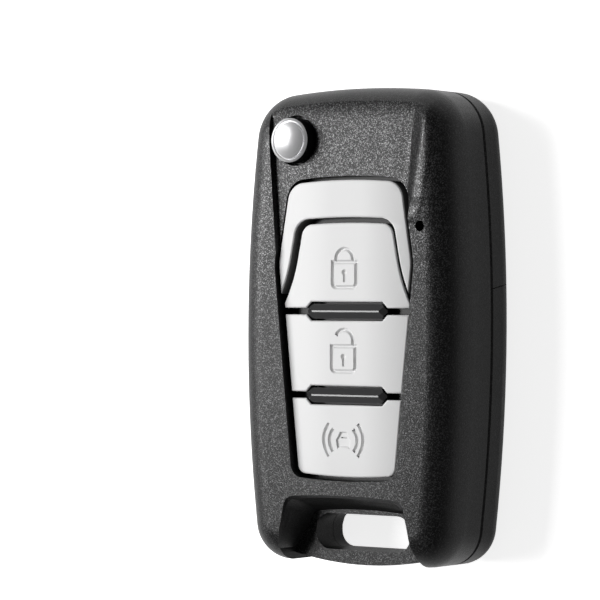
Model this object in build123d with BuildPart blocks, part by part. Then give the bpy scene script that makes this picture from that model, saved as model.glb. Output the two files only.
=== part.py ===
from build123d import *
import os

os.makedirs("parts", exist_ok=True)

# Frame: the key lies on its back, +X right as seen from the buttons, +Y towards the chrome button,
# +Z out of the button face. The origin is under the middle of the case, on the back face.

# Case outline and thickness
case_length = 74.1
case_width = 41.2
case_end_width = 36.4
widest_y = -1.8
top_bow = 1.3
foot_bow = 0.7
rail_crest_z = 17.4
parting_z = 7.0
parting_gap = 0.12
seam_chamfer = 0.35
crown_radius = 2000.0
crown_y = 1.6
rail_radius = 5.2
top_corner_radius = 7.4
foot_corner_radius = 6.0
back_edge_radius = 3.8
wall = 1.6
front_wall = 2.4

# Window for the keypad, placed from the two ends of the case
keypad_foot_inset = 14.3
keypad_foot_half_width = 9.05
keypad_foot_bow = 0.45
keypad_waist_drop = 12.3
keypad_waist_half_width = 12.45
keypad_top_inset = 14.9
keypad_top_half_width = 10.4
keypad_top_bow = 0.55
keypad_foot_corner_radius = 1.5
keypad_waist_radius = 8.0
keypad_top_corner_radius = 3.0
window_gap = 0.6
window_rim = 1.5
window_rim_height = 1.4

# Sunk upper panel: a steep step along its left, a wide shallow flank along its right
panel_sink = 0.9
panel_low_sink = 1.5
panel_high_rise = 0.5
panel_reach = 8.0
panel_step_foot_x = 12.4
panel_step_top_x = 15.4
panel_step_lean = 0.35
panel_step_drop = 12.15
panel_flank_low_foot_x = 9.75
panel_flank_low_top_x = 11.4
panel_flank_low_drop = 3.0
panel_flank_low_radius = 0.8
panel_flank_high_foot_x = 14.65
panel_flank_high_top_x = 21.5
panel_flank_high_drop = 6.25
panel_flank_high_radius = 2.4
panel_ridge_radius = 2.5

# Keypad
bezel_floor_z = 14.2
bezel_thickness = 1.2
bezel_flange = 1.2
cavity_foot_clearance = 0.3
divider_upper_y = 2.4
divider_lower_y = -10.6
divider_gap = 1.0
bar_length = 14.9
bar_height = 2.3
bar_corner = 1.0
bar_gap = 0.3
bar_rim_sink = 0.35
bar_ridge_rise = 0.35
bar_ridge_half_width = 0.12
bar_hip_length = 1.2
cap_sink = 1.0
cap_edge_radius = 0.3
cap_thickness = 1.4
cap_travel = 0.5
cap_stop_clearance = 0.1
cap_post_inset = 2.2
cap_post_clearance = 0.2
cap_flange = 0.7
cap_flange_thickness = 0.7
lock_top_drop = 6.35
lock_top_bow = 0.3
lock_top_half_width = 8.3
lock_flank_drop = 5.15
lock_flank_half_width = 9.3
lock_skirt_half_width = 12.2
lock_corner_radius = 2.0
arch_gap = 0.8
arch_sink = 1.1
arch_tip_drop = 17.1
arch_edge_radius = 0.3
membrane_thickness = 0.8
membrane_pip_radius = 1.6
membrane_pip_height = 0.3

# Blade pivot, placed from the left side and the top, and the parts stacked on it
pivot_side_inset = 10.8
pivot_top_inset = 8.05
hub_radius = 6.2
hub_neck_radius = 4.7
hub_neck_z = 9.9
hub_base_z = 4.3
hub_rim_z = 11.4
hub_floor_z = 6.4
hub_cup_radius = 3.8
hub_journal_radius = 4.2
hub_journal_z = 2.3
hub_recess_radius = 2.9
hub_floor_base_z = 4.7
running_clearance = 0.06
bearing_ring_radius = 5.7
washer_thickness = 0.3
washer_play = 0.05
pocket_clearance = 0.3
upper_ring_wall = 0.85
upper_ring_z = 10.2
collar_z = 14.0
arm_z_low = 4.6
arm_z_high = 9.6
arm_foot_reach = 7.55
arm_top_reach = 2.65
arm_corner_radius = 1.5
arm_side_inset = 0.1
sweep_clearance = 0.6

# Blade
blade_offset = 5.5
blade_width = 7.4
blade_thickness = 2.4
blade_mid_z = 7.1
blade_tip_inset = 5.7
blade_tip_half_width = 1.2
blade_tip_taper = 4.5
blade_groove_width = 2.2
blade_groove_depth = 0.55
tang_width = 4.2
tang_shift = 1.0
tang_top_reach = 1.65
tang_clearance = 0.03
pin_radius = 0.9
pin_drop = 1.75
pin_wall = 0.3
blade_slot_clearance = 0.45

# Release button and stem
cap_radius = 3.45
cap_hole_radius = 3.95
cap_rim_rise = 1.7
cap_dome_rise = 0.55
release_flange_radius = 4.6
release_flange_thickness = 0.9
release_stop_clearance = 0.1
stem_radius = 1.9
spline_radius = 2.4
spline_width = 1.0
spline_count = 4
stem_screw_radius = 0.7
stem_screw_head_radius = 2.5
stem_screw_head_height = 1.1
stem_screw_length = 5.0

# Flip spring
spring_wire_radius = 0.35
spring_wire_sides = 6
spring_coil_radius = 3.1
spring_pitch = 1.05
spring_turns = 3.5
spring_seat_clearance = 0.05

# Indicator hole
indicator_x = 14.07
indicator_drop = 6.75
indicator_radius = 0.82

# Keyring end: a bar between the two feet, with a slot through it and a scoop on each side
slot_length = 17.5
slot_height = 5.6
slot_corner_radius = 2.4
slot_foot_inset = 5.05
bar_front_z = 11.5
bar_back_z = 4.4
bar_half_width = 12.8
bar_bow = 1.4
scoop_reach = 4.0
scoop_ledge = 0.25
scoop_low_top_half_width = 9.1
scoop_low_corner_radius = 1.2
scoop_top_rise = 1.75
scoop_top_bow = 0.5
scoop_top_half_width = 10.3
scoop_corner_radius = 2.0
scoop_knee_half_width = 12.7
scoop_knee_inset = 2.3
scoop_flares = [(1.6, 0.0), (0.6, 0.3), (-0.2, 1.1)]

# Battery cover split, slanted as seen from the side
split_y_front = 5.85
split_slant = 1.2
split_gap = 0.15
lip_thickness = 0.8
lip_height = 1.2
lip_clearance = 0.05

# Inner frame
frame_wall = 1.0
frame_blade_clearance = 0.7
frame_right_x = 12.4
frame_foot_margin = 1.6
frame_top_margin = 1.7
frame_base_z = 7.3
frame_guard_z = 2.0

# Case screws, placed from the right side
upper_screw_side_inset = 6.6
upper_screw_top_inset = 8.8
lower_screw_side_inset = 4.3
lower_screw_y = 12.05
boss_radius = 1.7
screw_radius = 0.7
screw_head_radius = 1.35
screw_head_height = 0.9
screw_seat_z = 2.2
screw_reach = 4.5
screw_clearance = 0.1
cross_width = 0.35
cross_depth = 0.5

# Transponder holder
holder_length = 10.4
holder_width = 7.0
holder_height = 4.4
holder_wall = 0.9
holder_x = 6.4
holder_top_inset = 8.2

half_length = case_length / 2
keypad_foot_y = keypad_foot_inset - half_length
keypad_top_y = half_length - keypad_top_inset
keypad_waist_y = keypad_top_y - keypad_waist_drop
lock_top_y = keypad_top_y - lock_top_drop
lock_flank_y = lock_top_y - lock_flank_drop
arch_tip_y = keypad_top_y - arch_tip_drop
indicator_y = keypad_top_y - indicator_drop
pivot_x = pivot_side_inset - case_width / 2
pivot_y = half_length - pivot_top_inset
arm_foot_y = pivot_y - arm_foot_reach
arm_top_y = pivot_y + arm_top_reach
tang_top_y = pivot_y + tang_top_reach
pin_y = pivot_y - pin_drop
blade_x = pivot_x - blade_offset
blade_tip_y = blade_tip_inset - half_length
slot_y = slot_foot_inset - half_length
screw_points = [(case_width / 2 - upper_screw_side_inset, half_length - upper_screw_top_inset),
                (case_width / 2 - lower_screw_side_inset, lower_screw_y)]
bezel_base_z = bezel_floor_z - bezel_thickness
cap_flange_top_z = bezel_base_z - cap_stop_clearance
cap_flange_base_z = cap_flange_top_z - cap_flange_thickness
membrane_top_z = cap_flange_base_z - cap_travel - membrane_pip_height - cap_stop_clearance
membrane_base_z = membrane_top_z - membrane_thickness
keypad_seat_grow = window_gap + bezel_flange
cavity_foot_y = keypad_foot_y - keypad_foot_bow - keypad_seat_grow - cavity_foot_clearance
upper_ring_radius = hub_neck_radius + running_clearance + upper_ring_wall
panel_z_at_pivot = rail_crest_z - panel_sink - (pivot_y - crown_y) ** 2 / (2 * crown_radius)


def plan_outline(inset):
    """Case outline seen from the front, drawn in by an inset."""
    half_mid = case_width / 2 - inset
    half_end = case_end_width / 2 - inset
    end_y = half_length - inset
    with BuildSketch() as plan:
        with BuildLine():
            ThreePointArc((half_end, foot_bow - end_y), (half_mid, widest_y), (half_end, end_y - top_bow))
            ThreePointArc((half_end, end_y - top_bow), (0, end_y), (-half_end, end_y - top_bow))
            ThreePointArc((-half_end, end_y - top_bow), (-half_mid, widest_y), (-half_end, foot_bow - end_y))
            ThreePointArc((-half_end, foot_bow - end_y), (0, -end_y), (half_end, foot_bow - end_y))
        make_face()
        fillet(plan.vertices().sort_by(Axis.Y)[-2:], top_corner_radius - inset)
        fillet(plan.vertices().sort_by(Axis.Y)[:2], foot_corner_radius - inset)
    return plan.sketch


def crown_disc(sink):
    """Disc in the YZ plane whose upper edge is the lengthwise crown, lowered by sink."""
    with BuildSketch() as disc:
        with Locations((crown_y, rail_crest_z - crown_radius)):
            Circle(crown_radius - sink)
    return disc.sketch


def front_form(inset, top_inset):
    """Rounded front block above the parting plane, drawn in by an inset."""
    with BuildPart() as form:
        with BuildSketch(Plane.XY.offset(parting_z)):
            add(plan_outline(inset))
        extrude(amount=rail_crest_z - parting_z)
        with BuildSketch(Plane.YZ):
            add(crown_disc(top_inset))
        extrude(amount=case_width, both=True, mode=Mode.INTERSECT)
        fillet(form.faces().sort_by(Axis.Z)[-1].edges(), rail_radius - top_inset)
    return form.part


def rear_form(inset, floor_z):
    """Rounded rear tub below the parting plane, drawn in by an inset."""
    with BuildPart() as form:
        with BuildSketch(Plane.XY.offset(floor_z)):
            add(plan_outline(inset))
        extrude(amount=parting_z - floor_z)
        fillet(form.faces().sort_by(Axis.Z)[0].edges(), back_edge_radius - inset)
    return form.part


def keypad_outline(grow):
    """Outline that all the keys and the arch fill together, grown all round."""
    with BuildSketch() as keypad:
        with BuildLine():
            ThreePointArc((-keypad_foot_half_width, keypad_foot_y), (0, keypad_foot_y - keypad_foot_bow),
                          (keypad_foot_half_width, keypad_foot_y))
            Polyline((keypad_foot_half_width, keypad_foot_y), (keypad_waist_half_width, keypad_waist_y),
                     (keypad_top_half_width, keypad_top_y))
            ThreePointArc((keypad_top_half_width, keypad_top_y), (0, keypad_top_y + keypad_top_bow),
                          (-keypad_top_half_width, keypad_top_y))
            Polyline((-keypad_top_half_width, keypad_top_y), (-keypad_waist_half_width, keypad_waist_y),
                     (-keypad_foot_half_width, keypad_foot_y))
        make_face()
        fillet(keypad.vertices().group_by(Axis.Y)[-1], keypad_top_corner_radius)
        fillet(keypad.vertices().group_by(Axis.Y)[0], keypad_foot_corner_radius)
        waist = [v for v in keypad.vertices() if abs(v.Y - keypad_waist_y) < wall]
        fillet(waist, keypad_waist_radius)
        if grow > 0:
            offset(amount=grow)
    return keypad.sketch


def lock_outline():
    """Outline of the upper key before the divider cuts its foot: an arched top and flared skirts."""
    skirt_y = divider_upper_y + divider_gap / 2
    with BuildSketch() as lock:
        with BuildLine():
            flank = Line((lock_top_half_width, lock_top_y), (lock_flank_half_width, lock_flank_y))
            TangentArc((lock_flank_half_width, lock_flank_y), (lock_skirt_half_width, skirt_y),
                       tangent=flank % 1)
            mirror(about=Plane.YZ)
            ThreePointArc((-lock_top_half_width, lock_top_y), (0, lock_top_y + lock_top_bow),
                          (lock_top_half_width, lock_top_y))
            Line((lock_skirt_half_width, skirt_y), (-lock_skirt_half_width, skirt_y))
        make_face()
        fillet(lock.vertices().group_by(Axis.Y)[-1], lock_corner_radius)
    return lock.sketch


def bar_outlines(grow):
    """Plan of the two divider bars with cut corners, grown all round."""
    with BuildSketch() as bars:
        with Locations((0, divider_upper_y), (0, divider_lower_y)):
            Rectangle(bar_length + 2 * grow, bar_height + 2 * grow)
        chamfer(bars.vertices(), bar_corner + grow / 2)
    return bars.sketch


def roof_profile(half_base, half_ridge):
    """Upright profile of a divider bar: straight up to its rim, then sloping in to its ridge."""
    rim_z = rail_crest_z - cap_sink - bar_rim_sink
    ridge_z = rail_crest_z - cap_sink + bar_ridge_rise
    with BuildSketch() as roof:
        with BuildLine():
            Polyline((-half_base, 0), (half_base, 0), (half_base, rim_z), (half_ridge, ridge_z),
                     (-half_ridge, ridge_z), (-half_base, rim_z), close=True)
        make_face()
    return roof.sketch


def band(low_y, high_y):
    """Wide strip between two heights, for cutting the keypad outline into keys."""
    with BuildSketch() as strip:
        with Locations((0, (low_y + high_y) / 2)):
            Rectangle(case_width, high_y - low_y)
    return strip.sketch


def key_plan(outline, low_y, high_y, inset=0.0):
    """Plan of one key: an outline cut to a band and notched round the divider bars."""
    with BuildSketch() as plan:
        add(outline)
        add(band(low_y, high_y), mode=Mode.INTERSECT)
        add(bar_outlines(bar_gap), mode=Mode.SUBTRACT)
        if inset > 0:
            offset(amount=-inset)
    return plan.sketch


def key_cap(outline, low_y, high_y):
    """Keycap with a crowned, edge-rounded top, a post through the bezel and a retaining flange."""
    cap_base_z = rail_crest_z - cap_sink - cap_thickness
    with BuildPart() as key:
        with BuildSketch(Plane.XY.offset(cap_base_z)):
            add(key_plan(outline, low_y, high_y))
        extrude(amount=rail_crest_z - cap_base_z)
        with BuildSketch(Plane.YZ):
            add(crown_disc(cap_sink))
        extrude(amount=case_width, both=True, mode=Mode.INTERSECT)
        fillet(key.faces().sort_by(Axis.Z)[-1].edges(), cap_edge_radius)
        with BuildSketch(Plane.XY.offset(cap_flange_top_z)):
            add(key_plan(outline, low_y, high_y, cap_post_inset))
        extrude(amount=cap_base_z - cap_flange_top_z)
        with BuildSketch(Plane.XY.offset(cap_flange_base_z)):
            add(key_plan(outline, low_y, high_y, cap_post_inset - cap_flange))
        extrude(amount=cap_flange_thickness)
    return key.part


def column(x, y, radius, low_z, high_z):
    """Upright round column."""
    with BuildPart() as post:
        with BuildSketch(Plane.XY.offset(low_z)):
            with Locations((x, y)):
                Circle(radius)
        extrude(amount=high_z - low_z)
    return post.part


def block(low, high):
    """Upright box between two opposite corners."""
    with BuildPart() as box:
        with BuildSketch(Plane.XY.offset(low[2])):
            with Locations(((low[0] + high[0]) / 2, (low[1] + high[1]) / 2)):
                Rectangle(high[0] - low[0], high[1] - low[1])
        extrude(amount=high[2] - low[2])
    return box.part


def scoop_outline(top_half_width, top_y, corner_radius):
    """Plan of the keyring scoop at one height, open past the foot of the case."""
    open_y = -half_length - scoop_reach
    with BuildSketch() as scoop:
        with BuildLine():
            ThreePointArc((-top_half_width, top_y), (0, top_y + scoop_top_bow), (top_half_width, top_y))
            Polyline((top_half_width, top_y), (scoop_knee_half_width, scoop_knee_inset - half_length),
                     (bar_half_width, open_y), (-bar_half_width, open_y),
                     (-scoop_knee_half_width, scoop_knee_inset - half_length), (-top_half_width, top_y))
        make_face()
        fillet(scoop.vertices().group_by(Axis.Y)[-1], corner_radius)
    return scoop.sketch


def panel_outline(lean, flank_foot_x, flank_top_x, flank_drop, flank_radius):
    """Plan of the sunk panel at one height; its foot lies inside the window."""
    top_y = half_length + panel_reach
    flank_foot_y = keypad_top_y - flank_drop
    with BuildSketch() as panel:
        with BuildLine():
            Polyline((-panel_step_foot_x - lean, keypad_top_y - panel_step_drop),
                     (-panel_step_top_x - lean, top_y), (flank_top_x, top_y), (flank_foot_x, flank_foot_y),
                     (0, flank_foot_y), close=True)
        make_face()
        fillet(panel.vertices().sort_by_distance((flank_foot_x, flank_foot_y, 0))[0], flank_radius)
    return panel.sketch


def split_region(front_side):
    """Region on one side of the slanted battery cover split, as a thick slab across the case."""
    reach = case_length
    low_z = -parting_z
    high_z = 2 * parting_z
    slope = split_slant / parting_z
    shift = split_gap if front_side else 0.0
    edge_low = split_y_front + shift + (parting_z - low_z) * slope
    edge_high = split_y_front + shift + (parting_z - high_z) * slope
    end_y = reach if front_side else -reach
    with BuildPart() as region:
        with BuildSketch(Plane.YZ):
            with BuildLine():
                Polyline((end_y, low_z), (edge_low, low_z), (edge_high, high_z), (end_y, high_z), close=True)
            make_face()
        extrude(amount=case_width, both=True)
    return region.part


# Shared plans
lock_plan = lock_outline()
lock_low_y = divider_upper_y + divider_gap / 2
unlock_high_y = divider_upper_y - divider_gap / 2
unlock_low_y = divider_lower_y + divider_gap / 2
alarm_high_y = divider_lower_y - divider_gap / 2
with BuildSketch() as lock_clipped:
    add(keypad_outline(0))
    add(lock_plan, mode=Mode.INTERSECT)
lock_area = lock_clipped.sketch
key_areas = [(lock_area, lock_low_y, half_length),
             (keypad_outline(0), unlock_low_y, unlock_high_y),
             (keypad_outline(0), -half_length, alarm_high_y)]

# Space that the blade and the hub's arm sweep through, open to the left and the top
blade_low_z = blade_mid_z - blade_thickness / 2
blade_high_z = blade_mid_z + blade_thickness / 2
blade_slot = block((-case_width, blade_tip_y - 2 * blade_slot_clearance, blade_low_z - blade_slot_clearance),
                   (blade_x + blade_width / 2 + 2 * blade_slot_clearance, arm_foot_y,
                    blade_high_z + blade_slot_clearance))
arm_slot_left = block((-case_width, arm_foot_y - sweep_clearance, arm_z_low - pocket_clearance),
                      (pivot_x, case_length, arm_z_high + pocket_clearance))
arm_slot_right = block((pivot_x, 2 * pivot_y - arm_top_y - sweep_clearance, arm_z_low - pocket_clearance),
                       (pivot_x + pivot_side_inset + sweep_clearance, case_length,
                        arm_z_high + pocket_clearance))
hub_pocket = column(pivot_x, pivot_y, hub_radius + pocket_clearance, hub_base_z - washer_thickness,
                    upper_ring_z)

# Keyring slot, the scoops in front of and behind its bar, and the bowed foot of the bar
slot_top_y = slot_y + slot_height / 2
scoop_low_top_y = slot_top_y + scoop_ledge
scoop_top_y = scoop_low_top_y + scoop_top_rise
with BuildPart() as keyring_slot:
    with BuildSketch(Plane.XY.offset(-parting_z)):
        with Locations((0, slot_y)):
            RectangleRounded(slot_length, slot_height, slot_corner_radius)
    extrude(amount=rail_crest_z + parting_z)
with BuildPart() as front_scoop:
    with BuildSketch(Plane.XY.offset(bar_front_z)):
        add(scoop_outline(scoop_low_top_half_width, scoop_low_top_y, scoop_low_corner_radius))
    for flare_sink, flare in scoop_flares:
        with BuildSketch(Plane.XY.offset(rail_crest_z - flare_sink)):
            add(scoop_outline(scoop_top_half_width + flare, scoop_top_y + flare, scoop_corner_radius))
    loft(ruled=True)
with BuildPart() as back_scoop:
    with BuildSketch(Plane.XY):
        add(scoop_outline(scoop_top_half_width, scoop_top_y, scoop_corner_radius))
    with BuildSketch(Plane.XY.offset(bar_back_z)):
        add(scoop_outline(scoop_low_top_half_width, scoop_low_top_y, scoop_low_corner_radius))
    loft(ruled=True)
with BuildPart() as bar_foot:
    with BuildSketch(Plane.XY.offset(-parting_z)):
        with BuildLine():
            ThreePointArc((-bar_half_width, bar_bow - half_length), (0, -half_length),
                          (bar_half_width, bar_bow - half_length))
            Polyline((bar_half_width, bar_bow - half_length), (bar_half_width, -half_length - scoop_reach),
                     (-bar_half_width, -half_length - scoop_reach), (-bar_half_width, bar_bow - half_length))
        make_face()
    extrude(amount=rail_crest_z + parting_z)

# Sunk panel, lofted between its outline under the panel and its outline over the rails
with BuildPart() as sunk_panel:
    with BuildSketch(Plane.XY.offset(rail_crest_z - panel_low_sink)):
        add(panel_outline(0, panel_flank_low_foot_x, panel_flank_low_top_x, panel_flank_low_drop,
                          panel_flank_low_radius))
    with BuildSketch(Plane.XY.offset(rail_crest_z + panel_high_rise)):
        add(panel_outline(panel_step_lean, panel_flank_high_foot_x, panel_flank_high_top_x,
                          panel_flank_high_drop, panel_flank_high_radius))
    loft(ruled=True)
    with BuildSketch(Plane.YZ):
        add(crown_disc(panel_sink))
    extrude(amount=case_width, both=True, mode=Mode.SUBTRACT)

# Case blanks, shared by the shells
lower_region = block((-case_width, -case_length, -case_length), (case_width, cavity_foot_y, case_length))
limit_inset = wall / 2
fill_limit = front_form(limit_inset, limit_inset)
with BuildPart() as front_cavity:
    add(front_form(wall, front_wall))
    add(lower_region, mode=Mode.SUBTRACT)
with BuildPart() as rear_cavity:
    add(rear_form(wall, wall))
    add(lower_region, mode=Mode.SUBTRACT)
# Front housing: rounded shell with raised side rails, sunk panel, keypad window and keyring recess
inside_root_z = rail_crest_z - (front_wall + panel_sink) / 2
with BuildPart() as front_inside:
    with BuildSketch(Plane.XY.offset(bezel_floor_z)):
        add(keypad_outline(window_gap + window_rim))
    extrude(amount=window_rim_height)
    add(column(pivot_x, pivot_y, upper_ring_radius, upper_ring_z, inside_root_z))
    for boss_x, boss_y in screw_points:
        add(column(boss_x, boss_y, boss_radius, parting_z, inside_root_z))
    add(fill_limit, mode=Mode.INTERSECT)
with BuildPart() as front_skin:
    add(front_form(0, 0))
    chamfer(front_skin.faces().sort_by(Axis.Z)[0].edges(), seam_chamfer)
    add(bar_foot.part, mode=Mode.SUBTRACT)
    add(front_scoop.part, mode=Mode.SUBTRACT)
    add(sunk_panel.part, mode=Mode.SUBTRACT)
    right_edges = front_skin.edges().filter_by_position(Axis.X, panel_flank_low_top_x, case_width / 2)
    crest_edges = right_edges.filter_by_position(Axis.Z, rail_crest_z - panel_sink / 2, rail_crest_z)
    ridge = crest_edges.filter_by_position(Axis.Y, keypad_waist_y, half_length).sort_by(Edge.length)[-1]
    fillet(ridge, panel_ridge_radius)
with BuildPart() as front_housing:
    add(front_skin.part)
    add(front_cavity.part, mode=Mode.SUBTRACT)
    add(block((-case_width, -case_length, 0), (case_width, case_length, parting_z + parting_gap)),
        mode=Mode.SUBTRACT)
    add(front_inside.part)
    with BuildSketch(Plane.XY.offset(parting_z)):
        add(keypad_outline(window_gap))
    extrude(amount=rail_crest_z, mode=Mode.SUBTRACT)
    add(column(pivot_x, pivot_y, cap_hole_radius, parting_z, 2 * rail_crest_z), mode=Mode.SUBTRACT)
    add(column(pivot_x, pivot_y, hub_neck_radius + running_clearance, parting_z, collar_z),
        mode=Mode.SUBTRACT)
    add(hub_pocket, mode=Mode.SUBTRACT)
    add(arm_slot_left, mode=Mode.SUBTRACT)
    add(arm_slot_right, mode=Mode.SUBTRACT)
    add(blade_slot, mode=Mode.SUBTRACT)
    add(keyring_slot.part, mode=Mode.SUBTRACT)
    add(column(indicator_x, indicator_y, indicator_radius, parting_z, 2 * rail_crest_z), mode=Mode.SUBTRACT)
    for boss_x, boss_y in screw_points:
        add(column(boss_x, boss_y, screw_radius + screw_clearance / 2, parting_z,
                   parting_z + screw_reach + screw_clearance), mode=Mode.SUBTRACT)
front_housing.part.label = "front_housing"
export_step(front_housing.part, "parts/front_housing.step")

# Rear shell: tub with a lip, the hub's bearing ring and the screw posts, split into two covers
bearing_top_z = hub_base_z - washer_thickness - 2 * washer_play
lip_inset = wall + lip_clearance
lip_inner_inset = lip_inset + lip_thickness
lip_base_z = blade_low_z - blade_slot_clearance
with BuildPart() as lip_ring:
    with BuildSketch(Plane.XY.offset(lip_base_z)):
        add(plan_outline(limit_inset))
        add(plan_outline(lip_inner_inset), mode=Mode.SUBTRACT)
    extrude(amount=parting_z - lip_base_z)
    with BuildSketch(Plane.XY.offset(parting_z)):
        add(plan_outline(lip_inset))
        add(plan_outline(lip_inner_inset), mode=Mode.SUBTRACT)
    extrude(amount=lip_height)
    add(lower_region, mode=Mode.SUBTRACT)
    for boss_x, boss_y in screw_points:
        add(column(boss_x, boss_y, boss_radius + screw_clearance, parting_z, rail_crest_z),
            mode=Mode.SUBTRACT)
with BuildPart() as rear_shell:
    add(rear_form(0, 0))
    chamfer(rear_shell.faces().sort_by(Axis.Z)[-1].edges(), seam_chamfer)
    add(bar_foot.part, mode=Mode.SUBTRACT)
    add(back_scoop.part, mode=Mode.SUBTRACT)
    add(rear_cavity.part, mode=Mode.SUBTRACT)
    add(lip_ring.part)
    add(column(pivot_x, pivot_y, bearing_ring_radius, wall / 2, bearing_top_z))
    for boss_x, boss_y in screw_points:
        add(column(boss_x, boss_y, boss_radius, wall / 2, parting_z))
    add(column(pivot_x, pivot_y, hub_journal_radius + running_clearance, wall, parting_z),
        mode=Mode.SUBTRACT)
    add(hub_pocket, mode=Mode.SUBTRACT)
    add(arm_slot_left, mode=Mode.SUBTRACT)
    add(arm_slot_right, mode=Mode.SUBTRACT)
    add(blade_slot, mode=Mode.SUBTRACT)
    add(keyring_slot.part, mode=Mode.SUBTRACT)
    for boss_x, boss_y in screw_points:
        add(column(boss_x, boss_y, screw_radius + screw_clearance, 0, parting_z), mode=Mode.SUBTRACT)
        add(column(boss_x, boss_y, screw_head_radius + screw_clearance, 0, screw_seat_z),
            mode=Mode.SUBTRACT)
with BuildPart() as rear_housing:
    add(rear_shell.part)
    add(split_region(True), mode=Mode.INTERSECT)
rear_housing.part.label = "rear_housing"
export_step(rear_housing.part, "parts/rear_housing.step")
with BuildPart() as battery_cover:
    add(rear_shell.part)
    add(split_region(False), mode=Mode.INTERSECT)
battery_cover.part.label = "battery_cover"
export_step(battery_cover.part, "parts/battery_cover.step")

# Keycaps, each with its post through the bezel
key_names = ["lock_button", "unlock_button", "alarm_button"]
for key_name, (area, low_y, high_y) in zip(key_names, key_areas):
    keycap = key_cap(area, low_y, high_y)
    keycap.label = key_name
    export_step(keycap, f"parts/{key_name}.step")

# Arch round the upper key, seated on the bezel
with BuildSketch() as lock_room:
    add(lock_plan)
    offset(amount=arch_gap)
with BuildPart() as arch_trim:
    with BuildSketch(Plane.XY.offset(bezel_floor_z)):
        add(keypad_outline(0))
        add(band(arch_tip_y, half_length), mode=Mode.INTERSECT)
        add(lock_room.sketch, mode=Mode.SUBTRACT)
    extrude(amount=rail_crest_z - bezel_floor_z)
    with BuildSketch(Plane.YZ):
        add(crown_disc(arch_sink))
    extrude(amount=case_width, both=True, mode=Mode.INTERSECT)
    fillet(arch_trim.faces().sort_by(Axis.Z)[-1].edges(), arch_edge_radius)
arch_trim.part.label = "arch_trim"
export_step(arch_trim.part, "parts/arch_trim.step")

# Bezel: plate behind the window with the glossy bars, openings for the key posts and a skirt
bar_ridge_z = rail_crest_z - cap_sink + bar_ridge_rise
bar_root_z = bezel_floor_z - bezel_thickness / 2
with BuildPart() as divider_bars:
    with BuildSketch(Plane.XY.offset(bar_root_z)):
        add(bar_outlines(0))
    extrude(amount=bar_ridge_z - bar_root_z)
    with BuildSketch(Plane.YZ):
        for bar_y in (divider_upper_y, divider_lower_y):
            with Locations((bar_y, 0)):
                add(roof_profile(bar_height / 2, bar_ridge_half_width))
    extrude(amount=case_width, both=True, mode=Mode.INTERSECT)
    with BuildSketch(Plane.XZ):
        add(roof_profile(bar_length / 2, bar_length / 2 - bar_hip_length))
    extrude(amount=case_length, both=True, mode=Mode.INTERSECT)
with BuildPart() as keypad_bezel:
    with BuildSketch(Plane.XY.offset(membrane_top_z)):
        add(keypad_outline(keypad_seat_grow))
    extrude(amount=bezel_floor_z - membrane_top_z)
    with BuildSketch(Plane.XY.offset(membrane_top_z)):
        add(keypad_outline(window_gap))
    extrude(amount=bezel_base_z - membrane_top_z, mode=Mode.SUBTRACT)
    for area, low_y, high_y in key_areas:
        with BuildSketch(Plane.XY.offset(bezel_base_z)):
            add(key_plan(area, low_y, high_y, cap_post_inset - cap_post_clearance))
        extrude(amount=bezel_thickness, mode=Mode.SUBTRACT)
    add(column(pivot_x, pivot_y, upper_ring_radius + pocket_clearance, 0, rail_crest_z), mode=Mode.SUBTRACT)
    add(divider_bars.part)
keypad_bezel.part.label = "keypad_bezel"
export_step(keypad_bezel.part, "parts/keypad_bezel.step")

# Membrane: rubber sheet with a pip under each key
with BuildPart() as keypad_membrane:
    with BuildSketch(Plane.XY.offset(membrane_base_z)):
        add(keypad_outline(keypad_seat_grow))
    extrude(amount=membrane_thickness)
    with BuildSketch(Plane.XY.offset(membrane_top_z)):
        with Locations(*[(0, (max(low_y, keypad_foot_y) + min(high_y, lock_top_y)) / 2)
                         for area, low_y, high_y in key_areas]):
            Circle(membrane_pip_radius)
    extrude(amount=membrane_pip_height)
    add(column(pivot_x, pivot_y, upper_ring_radius + pocket_clearance, 0, rail_crest_z), mode=Mode.SUBTRACT)
keypad_membrane.part.label = "keypad_membrane"
export_step(keypad_membrane.part, "parts/keypad_membrane.step")

# Board frame: open ring under the membrane, with a guard wall beside the blade
frame_left_x = blade_x + blade_width / 2 + frame_blade_clearance
frame_foot_y = keypad_foot_y - frame_foot_margin
frame_top_y = keypad_top_y - frame_top_margin
with BuildPart() as board_frame:
    add(block((frame_left_x, frame_foot_y, frame_base_z), (frame_right_x, frame_top_y, membrane_base_z)))
    add(block((frame_left_x + frame_wall, frame_foot_y + frame_wall, frame_base_z),
              (frame_right_x - frame_wall, frame_top_y - frame_wall, membrane_base_z)), mode=Mode.SUBTRACT)
    add(block((frame_left_x, frame_foot_y, frame_guard_z),
              (frame_left_x + frame_wall, frame_top_y, frame_base_z)))
board_frame.part.label = "board_frame"
export_step(board_frame.part, "parts/board_frame.step")

# Blade hub: cup with a lower journal, an upper neck, a splined bore and an arm that holds the tang
tang_x = blade_x - tang_shift


def spline_bore(low_z, high_z, clearance):
    """Round bar with four splines round the pivot axis, grown by a clearance."""
    with BuildPart() as splines:
        with BuildSketch(Plane.XY.offset(low_z)):
            with Locations((pivot_x, pivot_y)):
                Circle(stem_radius + clearance)
            with Locations((pivot_x, pivot_y)):
                with PolarLocations(0, spline_count // 2, angular_range=180):
                    Rectangle(2 * (spline_radius + clearance), spline_width + 2 * clearance)
        extrude(amount=high_z - low_z)
    return splines.part


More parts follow.
